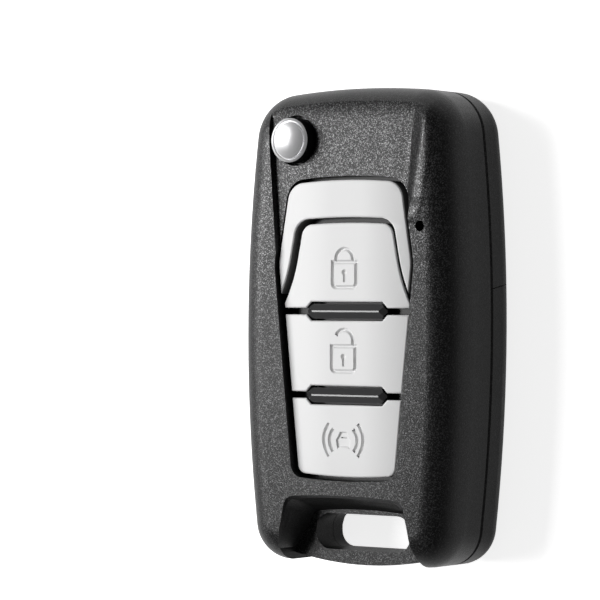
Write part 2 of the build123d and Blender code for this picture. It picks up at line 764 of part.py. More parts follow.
with BuildPart() as case_plan:
    with BuildSketch(Plane.XY):
        add(plan_outline(arm_side_inset))
    extrude(amount=rail_crest_z)
with BuildPart() as blade_hub:
    add(block((-case_width / 2, arm_foot_y, arm_z_low), (pivot_x, arm_top_y, arm_z_high)))
    add(case_plan.part, mode=Mode.INTERSECT)
    fillet(blade_hub.edges().filter_by(Axis.Z), arm_corner_radius)
    add(column(pivot_x, pivot_y, hub_radius, hub_base_z, hub_neck_z))
    add(column(pivot_x, pivot_y, hub_neck_radius, hub_neck_z, hub_rim_z))
    add(column(pivot_x, pivot_y, hub_journal_radius, hub_journal_z, hub_base_z))
    add(column(pivot_x, pivot_y, hub_cup_radius, hub_floor_z, hub_rim_z), mode=Mode.SUBTRACT)
    add(column(pivot_x, pivot_y, hub_recess_radius, hub_journal_z, hub_floor_base_z), mode=Mode.SUBTRACT)
    add(spline_bore(hub_floor_base_z, hub_floor_z, running_clearance), mode=Mode.SUBTRACT)
    add(block((tang_x - tang_width / 2 - tang_clearance, arm_foot_y - arm_corner_radius,
               blade_low_z - tang_clearance),
              (tang_x + tang_width / 2 + tang_clearance, tang_top_y + tang_clearance,
               blade_high_z + tang_clearance)), mode=Mode.SUBTRACT)
    add(column(tang_x, pin_y, pin_radius + tang_clearance, arm_z_low, arm_z_high), mode=Mode.SUBTRACT)
blade_hub.part.label = "blade_hub"
export_step(blade_hub.part, "parts/blade_hub.step")

# Key blade: uncut blank with a groove down each face and a drilled tang
blade_root_y = arm_foot_y - 2 * tang_clearance
with BuildPart() as key_blade:
    with BuildSketch(Plane.XY.offset(blade_low_z)):
        with BuildLine():
            Polyline((tang_x - tang_width / 2, tang_top_y), (tang_x + tang_width / 2, tang_top_y),
                     (tang_x + tang_width / 2, blade_root_y), (blade_x + blade_width / 2, blade_root_y),
                     (blade_x + blade_width / 2, blade_tip_y + blade_tip_taper),
                     (blade_x + blade_tip_half_width, blade_tip_y),
                     (blade_x - blade_tip_half_width, blade_tip_y),
                     (blade_x - blade_width / 2, blade_tip_y + blade_tip_taper),
                     (blade_x - blade_width / 2, blade_root_y), (tang_x - tang_width / 2, blade_root_y),
                     close=True)
        make_face()
    extrude(amount=blade_thickness)
    for groove_z in (blade_low_z, blade_high_z - blade_groove_depth):
        add(block((blade_x - blade_groove_width / 2, blade_tip_y - blade_width, groove_z),
                  (blade_x + blade_groove_width / 2, blade_root_y - blade_width,
                   groove_z + blade_groove_depth)), mode=Mode.SUBTRACT)
    add(column(tang_x, pin_y, pin_radius + tang_clearance, arm_z_low, arm_z_high), mode=Mode.SUBTRACT)
key_blade.part.label = "key_blade"
export_step(key_blade.part, "parts/key_blade.step")

# Roll pin: slit tube through the arm and the tang
with BuildPart() as blade_roll_pin:
    add(column(tang_x, pin_y, pin_radius, arm_z_low, arm_z_high))
    add(column(tang_x, pin_y, pin_radius - pin_wall, arm_z_low, arm_z_high), mode=Mode.SUBTRACT)
    add(block((tang_x, pin_y - pin_wall / 2, arm_z_low), (tang_x + pin_radius, pin_y + pin_wall / 2,
                                                         arm_z_high)), mode=Mode.SUBTRACT)
blade_roll_pin.part.label = "blade_roll_pin"
export_step(blade_roll_pin.part, "parts/blade_roll_pin.step")

# Thrust washer between the bearing ring and the hub
with BuildPart() as pivot_washer:
    add(column(pivot_x, pivot_y, bearing_ring_radius, bearing_top_z, bearing_top_z + washer_thickness))
    add(column(pivot_x, pivot_y, hub_journal_radius + running_clearance, bearing_top_z,
               bearing_top_z + washer_thickness), mode=Mode.SUBTRACT)
pivot_washer.part.label = "pivot_washer"
export_step(pivot_washer.part, "parts/pivot_washer.step")

# Release button: domed cap with a retaining flange and a socket for the stem
pivot_plane = Plane(origin=(pivot_x, pivot_y, 0), x_dir=(1, 0, 0), z_dir=(0, -1, 0))
pivot_axis = Axis((pivot_x, pivot_y, 0), (0, 0, 1))
release_flange_top_z = collar_z - release_stop_clearance
release_base_z = release_flange_top_z - release_flange_thickness
cap_rim_z = panel_z_at_pivot + cap_rim_rise
socket_top_z = cap_rim_z - release_flange_thickness
socket_radius = stem_radius + tang_clearance
with BuildPart() as release_button:
    with BuildSketch(pivot_plane):
        with BuildLine():
            Polyline((0, cap_rim_z + cap_dome_rise), (0, socket_top_z), (socket_radius, socket_top_z),
                     (socket_radius, release_base_z), (release_flange_radius, release_base_z),
                     (release_flange_radius, release_flange_top_z), (cap_radius, release_flange_top_z),
                     (cap_radius, cap_rim_z))
            TangentArc((0, cap_rim_z + cap_dome_rise), (cap_radius, cap_rim_z), tangent=(1, 0))
        make_face()
    revolve(axis=pivot_axis)
release_button.part.label = "release_button"
export_step(release_button.part, "parts/release_button.step")

# Splined stem under the cap, and the screw that stops it
stem_base_z = hub_floor_base_z - release_stop_clearance
with BuildPart() as release_stem:
    add(column(pivot_x, pivot_y, stem_radius, stem_base_z, socket_top_z))
    add(spline_bore(stem_base_z, release_base_z, 0))
    add(column(pivot_x, pivot_y, stem_screw_radius + tang_clearance, stem_base_z,
               stem_base_z + stem_screw_length + tang_clearance), mode=Mode.SUBTRACT)
release_stem.part.label = "release_stem"
export_step(release_stem.part, "parts/release_stem.step")


def cross_recess(x, y, low_z):
    """Crossed slots for a driver, open downwards at low_z."""
    with BuildPart() as cross:
        with BuildSketch(Plane.XY.offset(low_z)):
            with Locations((x, y)):
                Rectangle(4 * cross_width, cross_width)
                Rectangle(cross_width, 4 * cross_width)
        extrude(amount=cross_depth)
    return cross.part


with BuildPart() as stem_screw:
    add(column(pivot_x, pivot_y, stem_screw_head_radius, stem_base_z - stem_screw_head_height, stem_base_z))
    add(column(pivot_x, pivot_y, stem_screw_radius, stem_base_z, stem_base_z + stem_screw_length))
    add(cross_recess(pivot_x, pivot_y, stem_base_z - stem_screw_head_height), mode=Mode.SUBTRACT)
stem_screw.part.label = "stem_screw"
export_step(stem_screw.part, "parts/stem_screw.step")

# Flip spring: coil round the stem, standing on the hub's floor
spring_base_z = hub_floor_z + spring_wire_radius + spring_seat_clearance
with BuildPart() as torsion_spring:
    with BuildLine(Plane((pivot_x, pivot_y, spring_base_z))) as coil:
        Helix(pitch=spring_pitch, height=spring_pitch * spring_turns, radius=spring_coil_radius)
    with BuildSketch(coil.line ^ 0):
        RegularPolygon(spring_wire_radius, spring_wire_sides)
    sweep(is_frenet=True)
torsion_spring.part.label = "torsion_spring"
export_step(torsion_spring.part, "parts/torsion_spring.step")

# Case screws, driven from the back
with BuildPart() as case_screws:
    for boss_x, boss_y in screw_points:
        add(column(boss_x, boss_y, screw_head_radius, screw_seat_z - screw_head_height, screw_seat_z))
        add(column(boss_x, boss_y, screw_radius, screw_seat_z, parting_z + screw_reach))
        add(cross_recess(boss_x, boss_y, screw_seat_z - screw_head_height), mode=Mode.SUBTRACT)
case_screws.part.label = "case_screws"
export_step(case_screws.part, "parts/case_screws.step")

# Transponder holder: little open tray on the rear shell's floor
holder_y = half_length - holder_top_inset
with BuildPart() as transponder_holder:
    add(block((holder_x - holder_length / 2, holder_y - holder_width / 2, wall),
              (holder_x + holder_length / 2, holder_y + holder_width / 2, wall + holder_height)))
    add(block((holder_x - holder_length / 2 + holder_wall, holder_y - holder_width / 2 + holder_wall,
               wall + holder_wall),
              (holder_x + holder_length / 2 - holder_wall, holder_y + holder_width / 2 - holder_wall,
               wall + holder_height)), mode=Mode.SUBTRACT)
transponder_holder.part.label = "transponder_holder"
export_step(transponder_holder.part, "parts/transponder_holder.step")
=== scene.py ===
"""Folded flip key remote shell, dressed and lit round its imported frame."""
import logging
import math
from dataclasses import dataclass, field, replace
from enum import Enum

import bmesh
import bpy
import numpy as np
from mathutils import Matrix, Vector


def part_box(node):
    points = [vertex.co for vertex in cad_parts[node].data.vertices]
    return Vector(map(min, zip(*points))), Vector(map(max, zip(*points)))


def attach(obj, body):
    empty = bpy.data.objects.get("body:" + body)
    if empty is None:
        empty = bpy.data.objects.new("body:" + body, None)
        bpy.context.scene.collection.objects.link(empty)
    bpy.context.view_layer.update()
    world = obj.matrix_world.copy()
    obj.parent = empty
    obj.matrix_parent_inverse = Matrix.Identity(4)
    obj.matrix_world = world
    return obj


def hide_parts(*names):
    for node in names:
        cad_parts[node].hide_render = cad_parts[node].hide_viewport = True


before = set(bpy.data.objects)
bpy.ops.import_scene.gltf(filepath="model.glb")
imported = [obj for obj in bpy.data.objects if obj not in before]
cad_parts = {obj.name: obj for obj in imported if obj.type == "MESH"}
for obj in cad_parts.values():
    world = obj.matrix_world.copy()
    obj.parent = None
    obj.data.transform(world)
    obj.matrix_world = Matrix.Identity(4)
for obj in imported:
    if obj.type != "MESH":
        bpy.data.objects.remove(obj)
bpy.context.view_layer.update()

MM = 0.001
WHITE = (1.0, 1.0, 1.0)
LOG = logging.getLogger("flip_key")

Point = tuple[float, float]
Color = tuple[float, float, float]
Material = bpy.types.Material
Socket = bpy.types.NodeSocket
Tree = bpy.types.NodeTree
# What an input takes: another node's socket, a number or a colour
Value = Socket | float | Color


class Op(Enum):
    """What a math node does."""

    ADD = "ADD"
    SUBTRACT = "SUBTRACT"
    MULTIPLY = "MULTIPLY"
    DIVIDE = "DIVIDE"
    MAXIMUM = "MAXIMUM"
    ABSOLUTE = "ABSOLUTE"
    ROOT = "SQRT"


class Coordinates(Enum):
    """What a pattern or a mask goes by."""

    PLACE = "Object"
    FACING = "Normal"
    DIRECTION = "Generated"


@dataclass(frozen=True)
class Span:
    """The two values, from 0 to 1, between which a mask rises."""

    low: float
    high: float


class Nodes:
    """A material's or group's node tree with short calls for placing nodes."""

    def __init__(self, tree: Tree) -> None:
        """Keep the tree that nodes are placed in."""
        self.tree = tree

    @property
    def shader(self) -> bpy.types.NodeInputs:
        """Inputs of the material's Principled BSDF."""
        return self.tree.nodes["Principled BSDF"].inputs

    def add(self, kind: str, **values: object) -> bpy.types.Node:
        """Place a node and set its properties.

        Args:
            kind: Blender's type name without its ShaderNode prefix.
            **values: Properties of the node itself.

        Returns:
            The new node.
        """
        node = self.tree.nodes.new(kind if kind.startswith("NodeGroup") else f"ShaderNode{kind}")
        for name, value in values.items():
            setattr(node, name, value)
        return node

    def group(self, tree: Tree, values: dict[str, float] | None = None, name: str = "") -> bpy.types.Node:
        """Place a shared group with its own values.

        Args:
            tree: The group.
            values: Inputs that differ from the group's defaults.
            name: Name by which the node is found again.

        Returns:
            The new node.
        """
        node = self.add("Group", node_tree=tree, name=name or tree.name)
        for socket_name, value in (values or {}).items():
            node.inputs[socket_name].default_value = value
        return node

    def link(self, source: Socket, target: Socket) -> None:
        """Join an output socket to an input socket."""
        self.tree.links.new(source, target)

    def feed(self, target: Socket, value: Value) -> None:
        """Link a socket to an input, or set the input to a number or a colour.

        Args:
            target: The input.
            value: The socket, number or colour.
        """
        if isinstance(value, Socket):
            self.link(value, target)
        elif isinstance(value, tuple):
            target.default_value = (*value, 1.0)
        else:
            target.default_value = value

    def math(self, operation: Op, a: Value, b: Value | None = None, clamp: bool = False) -> Socket:
        """Place a math node on sockets or numbers.

        Args:
            operation: What the node does.
            a: First socket or number.
            b: Second socket or number, if the operation takes two.
            clamp: Whether the result is held between 0 and 1.

        Returns:
            The result's socket.
        """
        node = self.add("Math", operation=operation.value, use_clamp=clamp)
        self.feed(node.inputs[0], a)
        if b is not None:
            self.feed(node.inputs[1], b)
        return node.outputs[0]

    def between(self, mask: Socket, low: Value, high: Value, clamp: bool = False) -> Socket:
        """Pass from one value to another by a mask: the low one plus the mask's share of their difference.

        Args:
            mask: The mask's socket.
            low: Socket or number where the mask is 0.
            high: Socket or number where the mask is 1.
            clamp: Whether the result is held between 0 and 1.

        Returns:
            The result's socket.
        """
        plain = not isinstance(low, Socket) and not isinstance(high, Socket)
        difference = high - low if plain else self.math(Op.SUBTRACT, high, low)
        return self.math(Op.ADD, self.math(Op.MULTIPLY, mask, difference), low, clamp)

    def ramp(self, source: Socket, span: Span) -> Socket:
        """Make a mask that rises evenly over a span.

        Args:
            source: The value's socket.
            span: The values that become 0 and 1.

        Returns:
            The mask's socket.
        """
        node = self.add("ValToRGB")
        node.color_ramp.elements[0].position = span.low
        node.color_ramp.elements[1].position = span.high
        self.link(source, node.inputs[0])
        return node.outputs[0]

    def mix(self, factor: Socket, a: Value, b: Value) -> Socket:
        """Mix two colours by a mask.

        Args:
            factor: The mask's socket.
            a: Socket or colour where the mask is 0.
            b: Socket or colour where the mask is 1.

        Returns:
            The mixed colour's socket.
        """
        node = self.add("MixRGB")
        for target, value in zip(node.inputs, (factor, a, b)):
            self.feed(target, value)
        return node.outputs[0]

    def coordinates(self, kind: Coordinates) -> Socket:
        """Texture coordinates of one kind."""
        return self.add("TexCoord").outputs[kind.value]

    def axes(self, kind: Coordinates) -> bpy.types.NodeOutputs:
        """Split texture coordinates into X, Y and Z.

        Args:
            kind: Which coordinates.

        Returns:
            The three sockets, by name.
        """
        node = self.add("SeparateXYZ")
        self.link(self.coordinates(kind), node.inputs[0])
        return node.outputs

    def noise(self, per_metre: Value, detail: float = 2.0, roughness: float = 0.5) -> Socket:
        """Noise of the object coordinates.

        Args:
            per_metre: How many of its waves fit in a metre.
            detail: How many finer layers it has.
            roughness: How much the finer layers count.

        Returns:
            The noise's socket.
        """
        node = self.add("TexNoise")
        self.link(self.coordinates(Coordinates.PLACE), node.inputs["Vector"])
        for name, value in {"Scale": per_metre, "Detail": detail, "Roughness": roughness}.items():
            self.feed(node.inputs[name], value)
        return node.outputs["Fac"]

    def eye(self) -> Socket:
        """Mask of the rays that come straight from the camera or pass through something clear."""
        path = self.add("LightPath").outputs
        return self.math(Op.MAXIMUM, path["Is Camera Ray"], path["Is Transmission Ray"])

    def bend(self, height: Socket) -> None:
        """Chain a broad form before a finish's own fine relief, in shading alone.

        Args:
            height: The form's height in metres.
        """
        form = self.add("Bump")
        form.inputs["Strength"].default_value = 1.0
        form.inputs["Distance"].default_value = 1.0
        self.link(height, form.inputs["Height"])
        relief = self.tree.nodes["relief"].inputs["Normal"]
        if relief.is_linked:
            self.link(relief.links[0].from_socket, form.inputs["Normal"])
        self.link(form.outputs["Normal"], relief)


def shader_group(name: str, inputs: dict[str, float], *outputs: str
                 ) -> tuple[Nodes, bpy.types.NodeOutputs, bpy.types.NodeInputs]:
    """Start a shader node group with named sockets.

    Args:
        name: The group's name.
        inputs: Input names with their default values.
        *outputs: Output names.

    Returns:
        The group's builder, the sockets that bring its inputs and those that take its outputs.
    """
    tree = bpy.data.node_groups.new(name, "ShaderNodeTree")
    for socket_name, value in inputs.items():
        socket = tree.interface.new_socket(socket_name, in_out="INPUT", socket_type="NodeSocketFloat")
        socket.default_value = value
    for socket_name in outputs:
        tree.interface.new_socket(socket_name, in_out="OUTPUT", socket_type="NodeSocketFloat")
    nodes = Nodes(tree)
    return nodes, nodes.add("NodeGroupInput").outputs, nodes.add("NodeGroupOutput").inputs


# Upward part of a normal: from a dark wall, partly bare moulding and partly painted shade, to a top painted
# silver, and from a steep wall to a level face
PAINTED = Span(0.22, 0.34)
LEVEL = Span(0.7, 0.96)
# Metres along Y: from the lower half, where the flecks are weaker, to the upper half
LOW_TO_HIGH_Y = Span(0.0, 0.015)
# How much the finer layers of the mould's pits count
PIT_ROUGHNESS = 0.7


def sparkle_group() -> Tree:
    """Eroded-mould texture: fine pits, and small facets that glint where the light meets them.

    The pits are a noise of the object coordinates. The facets are cells of a finer cell noise, each
    with its own random tone, so that they stay in place as the view turns. They weaken on steep
    walls and on the lower half, along Y.

    Returns:
        The node group, with outputs Height, Fleck and Tone.
    """
    nodes, source, sink = shader_group(
        "mould_sparkle", {"Grain size mm": 0.2, "Patches per m": 90.0, "Cells per grain": 1.6,
                          "Fleck share": 0.4, "Strength on walls": 0.25, "Strength on lower half": 0.7},
        "Height", "Fleck", "Tone")
    per_metre = nodes.math(Op.DIVIDE, 1 / MM, source["Grain size mm"])
    nodes.link(nodes.noise(per_metre, roughness=PIT_ROUGHNESS), sink["Height"])
    nodes.link(nodes.noise(source["Patches per m"]), sink["Tone"])
    cells = nodes.add("TexVoronoi", feature="F1")
    nodes.link(nodes.coordinates(Coordinates.PLACE), cells.inputs["Vector"])
    nodes.link(nodes.math(Op.MULTIPLY, per_metre, source["Cells per grain"]), cells.inputs["Scale"])
    cell_tone = nodes.add("SeparateColor")
    nodes.link(cells.outputs["Color"], cell_tone.inputs[0])
    dull = nodes.math(Op.SUBTRACT, 1.0, source["Fleck share"])
    above = nodes.math(Op.SUBTRACT, cell_tone.outputs[0], dull)
    fleck = nodes.math(Op.DIVIDE, above, source["Fleck share"], clamp=True)
    upward = nodes.math(Op.ABSOLUTE, nodes.axes(Coordinates.FACING)["Z"])
    on_walls = nodes.between(nodes.ramp(upward, LEVEL), source["Strength on walls"], 1.0)
    along = nodes.axes(Coordinates.PLACE)["Y"]
    on_lower_half = nodes.between(nodes.ramp(along, LOW_TO_HIGH_Y), source["Strength on lower half"], 1.0)
    strength = nodes.math(Op.MULTIPLY, on_walls, on_lower_half)
    nodes.link(nodes.math(Op.MULTIPLY, fleck, strength), sink["Fleck"])
    return nodes.tree


def fine_grain_group() -> Tree:
    """Very fine even grain of paint or turned metal, with a slow drift of tone.

    Returns:
        The node group, with outputs Height and Tone.
    """
    nodes, source, sink = shader_group("fine_grain", {"Grain size mm": 0.08, "Patches per m": 70.0},
                                       "Height", "Tone")
    per_metre = nodes.math(Op.DIVIDE, 1 / MM, source["Grain size mm"])
    nodes.link(nodes.noise(per_metre, detail=1.0), sink["Height"])
    nodes.link(nodes.noise(source["Patches per m"]), sink["Tone"])
    return nodes.tree


def top_group() -> Tree:
    """Mask of the tops: 1 where the surface faces up, and 0 on the upright walls.

    Returns:
        The node group, with output Top.
    """
    nodes, _, sink = shader_group("tops", {}, "Top")
    nodes.link(nodes.ramp(nodes.axes(Coordinates.FACING)["Z"], PAINTED), sink["Top"])
    return nodes.tree


def level_group() -> Tree:
    """Mask of what stands above a level: 0 below it, 1 from the fade's height over it.

    Returns:
        The node group, with output Mask.
    """
    nodes, source, sink = shader_group("above_level", {"Level mm": 15.0, "Fade mm": 0.2}, "Mask")
    upright = nodes.math(Op.DIVIDE, nodes.axes(Coordinates.PLACE)["Z"], MM)
    over = nodes.math(Op.SUBTRACT, upright, source["Level mm"])
    nodes.link(nodes.math(Op.DIVIDE, over, source["Fade mm"], clamp=True), sink["Mask"])
    return nodes.tree


def rounding_group() -> Tree:
    """Rounding of a surface away from a middle: past a flat reach, the height falls with the square.

    The distance is taken along X and along Y, each times its own share, so that a share of 0 makes a
    trough along that axis. Height is minus half the curvature times the square of the distance past
    the flat reach.

    Returns:
        The node group, with output Height.
    """
    nodes, source, sink = shader_group(
        "rounding", {"Middle X mm": 0.0, "Middle Y mm": 0.0, "X share": 1.0, "Y share": 1.0, "Flat mm": 0.0,
                     "Curvature per m": 100.0}, "Height")
    place = nodes.axes(Coordinates.PLACE)
    squares = []
    for axis in "XY":
        middle = nodes.math(Op.MULTIPLY, source[f"Middle {axis} mm"], MM)
        off = nodes.math(Op.MULTIPLY, nodes.math(Op.SUBTRACT, place[axis], middle), source[f"{axis} share"])
        squares.append(nodes.math(Op.MULTIPLY, off, off))
    away = nodes.math(Op.ROOT, nodes.math(Op.ADD, *squares))
    flat = nodes.math(Op.MULTIPLY, source["Flat mm"], MM)
    past = nodes.math(Op.MAXIMUM, nodes.math(Op.SUBTRACT, away, flat), 0.0)
    scale = nodes.math(Op.MULTIPLY, source["Curvature per m"], -0.5)
    nodes.link(nodes.math(Op.MULTIPLY, nodes.math(Op.MULTIPLY, past, past), scale), sink["Height"])
    return nodes.tree


def valley_group() -> Tree:
    """Valley along the right of the sunk panel and the ridge beyond it.

    Across the valley's slanted line the height rises by a smooth step, which is three times the
    share's square less twice its cube, then falls away evenly to the ridge's far side. Both fade in
    along Y from the valley's foot.

    Returns:
        The node group, with output Height.
    """
    nodes, source, sink = shader_group(
        "panel_valley", {"Line X mm": 10.5, "Line Y mm": 17.3, "Lean": 0.2, "Rise mm": 0.85, "Fall mm": 0.2,
                         "Half width mm": 1.5, "Ridge mm": 3.9, "Foot mm": 1.5, "Fade mm": 4.0}, "Height")
    place = nodes.axes(Coordinates.PLACE)
    across, along = (nodes.math(Op.DIVIDE, place[axis], MM) for axis in "XY")
    up = nodes.math(Op.SUBTRACT, along, source["Line Y mm"])
    line = nodes.math(Op.ADD, nodes.math(Op.MULTIPLY, up, source["Lean"]), source["Line X mm"])
    past = nodes.math(Op.ADD, nodes.math(Op.SUBTRACT, across, line), source["Half width mm"])
    width = nodes.math(Op.MULTIPLY, source["Half width mm"], 2.0)
    step = nodes.math(Op.DIVIDE, past, width, clamp=True)
    smooth = nodes.math(Op.MULTIPLY, nodes.math(Op.MULTIPLY, step, step),
                        nodes.math(Op.SUBTRACT, 3.0, nodes.math(Op.MULTIPLY, step, 2.0)))
    ridge = nodes.math(Op.SUBTRACT, source["Ridge mm"], source["Half width mm"])
    slope = nodes.math(Op.DIVIDE, nodes.math(Op.SUBTRACT, past, width), ridge, clamp=True)
    rise = nodes.math(Op.MULTIPLY, smooth, source["Rise mm"])
    fall = nodes.math(Op.MULTIPLY, slope, source["Fall mm"])
    fade = nodes.math(Op.DIVIDE, nodes.math(Op.ADD, up, source["Foot mm"]), source["Fade mm"], clamp=True)
    height = nodes.math(Op.MULTIPLY, nodes.math(Op.SUBTRACT, rise, fall), fade)
    nodes.link(nodes.math(Op.MULTIPLY, height, MM), sink["Height"])
    return nodes.tree


@dataclass(frozen=True)
class SharedGroups:
    """The node groups that the finishes share, each built once."""

    sparkle: Tree = field(default_factory=sparkle_group)
    grain: Tree = field(default_factory=fine_grain_group)
    top: Tree = field(default_factory=top_group)
    level: Tree = field(default_factory=level_group)
    rounding: Tree = field(default_factory=rounding_group)
    valley: Tree = field(default_factory=valley_group)


@dataclass(frozen=True)
class Rounding:
    """Where and how strongly a surface is rounded off in its shading."""

    middle_mm: Point
    shares: Point
    flat_mm: float
    curvature: float

    def height(self, nodes: Nodes, groups: SharedGroups) -> Socket:
        """Place the rounding group with this rounding's values.

        Args:
            nodes: The finish's nodes.
            groups: The shared groups.

        Returns:
            The height's socket.
        """
        values = {"Middle X mm": self.middle_mm[0], "Middle Y mm": self.middle_mm[1],
                  "X share": self.shares[0], "Y share": self.shares[1],
                  "Flat mm": self.flat_mm, "Curvature per m": self.curvature}
        return nodes.group(groups.rounding, values).outputs["Height"]


class Valley:
    """The panel's valley and ridge, with the values that their group has."""

    def height(self, nodes: Nodes, groups: SharedGroups) -> Socket:
        """Place the valley group and give its height's socket."""
        return nodes.group(groups.valley).outputs["Height"]


@dataclass(frozen=True)
class Finish:
    """A surface finish: its colours, its gloss, its texture's depth and its broad shaded forms."""

    name: str
    color: Color
    color_far: Color
    roughness: float
    roughness_far: float
    metallic: float = 0.0
    specular: float = 0.5
    grain_mm: float = 0.1
    bump: float = 0.1
    depth_mm: float = 0.01
    forms: tuple[Rounding | Valley, ...] = ()

    def texture(self, groups: SharedGroups) -> Tree:
        """Texture group with outputs Height and Tone: the fine grain, unless a finish has its own."""
        return groups.grain

    def material(self, groups: SharedGroups) -> Material:
        """Build the finish on its texture, with its broad forms under its fine relief.

        Args:
            groups: The shared groups.

        Returns:
            The material.
        """
        material = bpy.data.materials.new(self.name)
        material.use_nodes = True
        nodes = Nodes(material.node_tree)
        texture = nodes.group(self.texture(groups), {"Grain size mm": self.grain_mm}, "texture").outputs
        nodes.link(nodes.mix(texture["Tone"], self.color, self.color_far), nodes.shader["Base Color"])
        gloss = nodes.between(texture["Tone"], self.roughness, self.roughness_far, clamp=True)
        nodes.link(gloss, nodes.shader["Roughness"])
        nodes.feed(nodes.shader["Metallic"], self.metallic)
        nodes.feed(nodes.shader["Specular IOR Level"], self.specular)
        relief = nodes.add("Bump", name="relief")
        relief.inputs["Strength"].default_value = self.bump
        relief.inputs["Distance"].default_value = self.depth_mm * MM
        nodes.link(texture["Height"], relief.inputs["Height"])
        nodes.link(relief.outputs["Normal"], nodes.shader["Normal"])
        for form in self.forms:
            nodes.bend(form.height(nodes, groups))
        return material


@dataclass(frozen=True)
class SparkleFinish(Finish):
    """Finish of the moulded case: a dark satin plastic whose texture glints."""

    fleck_color: Color = (0.135, 0.135, 0.137)

    def texture(self, groups: SharedGroups) -> Tree:
        """Texture group of the case: the eroded mould's sparkle."""
        return groups.sparkle

    def material(self, groups: SharedGroups) -> Material:
        """Build the finish and lay the bright facets over it, which mirror the light as metal does.

        Args:
            groups: The shared groups.

        Returns:
            The material.
        """
        material = super().material(groups)
        nodes = Nodes(material.node_tree)
        fleck = nodes.tree.nodes["texture"].outputs["Fleck"]
        plain = nodes.shader["Base Color"].links[0].from_socket
        nodes.link(nodes.mix(fleck, plain, self.fleck_color), nodes.shader["Base Color"])
        nodes.link(fleck, nodes.shader["Metallic"])
        return material


@dataclass(frozen=True)
class ToppedFinish(Finish):
    """Silver paint or chrome on the tops of black mouldings, whose upright walls are darkened: partly the
    bare moulding, partly painted shade.
    """

    # Colour of the upright walls: partly the bare black moulding, partly painted shade of the gaps between
    # the parts
    wall_and_painted_light_color: Color = (0.035, 0.035, 0.036)
    wall_roughness: float | None = None

    def material(self, groups: SharedGroups) -> Material:
        """Build the finish and darken its walls, as bare moulding and as painted shade; their gloss is the
        finish's own where none is given.

        Args:
            groups: The shared groups.

        Returns:
            The material.
        """
        material = super().material(groups)
        nodes = Nodes(material.node_tree)
        top = nodes.group(groups.top).outputs["Top"]
        color, gloss = nodes.shader["Base Color"], nodes.shader["Roughness"]
        # The walls take the dark colour: bare moulding and painted shade together
        nodes.link(nodes.mix(top, self.wall_and_painted_light_color, color.links[0].from_socket), color)
        if self.wall_roughness is not None:
            nodes.link(nodes.between(top, self.wall_roughness, gloss.links[0].from_socket), gloss)
        return material


@dataclass(frozen=True)
class RaisedFinish(Finish):
    """Finish of the black plate, whose raised bars are smooth and glossy over a duller plate, and painted a
    lighter black as painted light.
    """

    raised_painted_light_color: Color = (0.034, 0.034, 0.035)
    raised_coat_roughness: float = 0.22
    level_mm: float = 15.4

    def material(self, groups: SharedGroups) -> Material:
        """Build the finish, polish what stands above the level and paint it a lighter black as painted light.

        Args:
            groups: The shared groups.

        Returns:
            The material.
        """
        material = super().material(groups)
        nodes = Nodes(material.node_tree)
        above = nodes.group(groups.level, {"Level mm": self.level_mm}).outputs["Mask"]
        plain = nodes.shader["Base Color"].links[0].from_socket
        # The raised bars take a lighter black than the plate: painted light
        nodes.link(nodes.mix(above, plain, self.raised_painted_light_color), nodes.shader["Base Color"])
        nodes.link(above, nodes.shader["Coat Weight"])
        nodes.feed(nodes.shader["Coat Roughness"], self.raised_coat_roughness)
        return material


CASE = SparkleFinish("case_plastic", (0.004, 0.004, 0.0042), (0.008, 0.008, 0.0082),
                     roughness=0.32, roughness_far=0.40, specular=0.22, grain_mm=0.2, bump=1.0, depth_mm=0.04)
FRONT_END = Rounding(middle_mm=(0.0, -200.0), shares=(0.0, 1.0), flat_mm=231.2, curvature=95.0)
FRONT_FOOT = Rounding(middle_mm=(0.0, 200.0), shares=(0.0, 1.0), flat_mm=190.0, curvature=1.0)
FRONT_RIGHT = Rounding(middle_mm=(-200.0, 0.0), shares=(1.0, 0.0), flat_mm=206.5, curvature=9.0)
CASE_FRONT = replace(CASE, name="case_plastic_front", forms=(FRONT_END, FRONT_FOOT, FRONT_RIGHT, Valley()))
KEYPAD_CROWN = Rounding(middle_mm=(0.0, 0.0), shares=(1.0, 0.0), flat_mm=3.0, curvature=23.0)
SILVER = ToppedFinish("silver_paint", (0.80, 0.80, 0.80), (0.84, 0.84, 0.84),
                      roughness=0.36, roughness_far=0.42, specular=0.25, grain_mm=0.09, depth_mm=0.006,
                      forms=(KEYPAD_CROWN,), wall_roughness=0.4)
# The arch's walls are a lighter grey than the other walls: painted light on the shaded wall in the gap beside
# the lock key
ARCH_SILVER = replace(SILVER, name="silver_paint_arch", wall_and_painted_light_color=(0.2, 0.2, 0.2))
PIANO = RaisedFinish("piano_black", (0.008, 0.008, 0.008), (0.012, 0.012, 0.012),
                     roughness=0.16, roughness_far=0.24, specular=0.12, grain_mm=0.3)
RUBBER = Finish("keypad_rubber", (0.02, 0.02, 0.02), (0.03, 0.03, 0.03),
                roughness=0.75, roughness_far=0.85, bump=0.2)
INNER = Finish("inner_plastic", (0.03, 0.03, 0.03), (0.04, 0.04, 0.04),
               roughness=0.5, roughness_far=0.6, bump=0.15)
CAP_DOME = Rounding(middle_mm=(-11.2, 30.4), shares=(1.0, 1.0), flat_mm=0.0, curvature=66.0)
